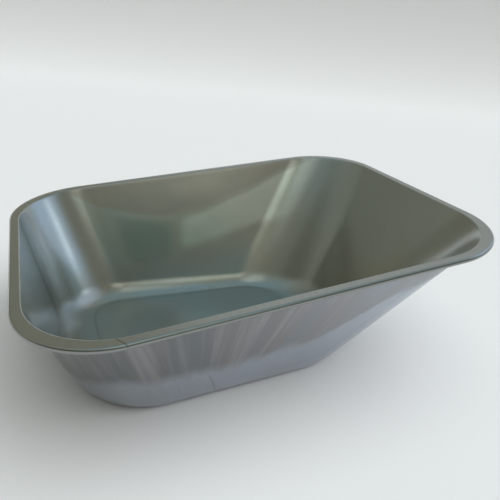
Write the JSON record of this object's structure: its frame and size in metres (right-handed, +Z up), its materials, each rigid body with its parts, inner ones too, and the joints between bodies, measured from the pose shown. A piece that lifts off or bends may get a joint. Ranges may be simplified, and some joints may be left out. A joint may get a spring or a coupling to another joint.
{
  "type": "wheelbarrow tray",
  "caption": "Deep-drawn galvanised steel barrow tray with a level floor, a sloping pouring nose, rounded corners and a flanged rim rolled round a stiffening wire.",
  "frame": {"origin": "on the ground under the middle of the tray's overall length, on the plane of symmetry", "axes": "+X towards the pouring nose, +Z up with the flat floor level, Y across"},
  "size_m": [0.8956, 0.674, 0.3249],
  "materials": {
    "zinc_sheet": "hot-dip galvanised sheet, satin, with drawing streaks",
    "zinc_wire": "dull galvanised wire"
  },
  "bodies": {
    "root": {"tray_pan": "zinc_sheet", "rim_wire": "zinc_wire"}
  },
  "joints": []
}
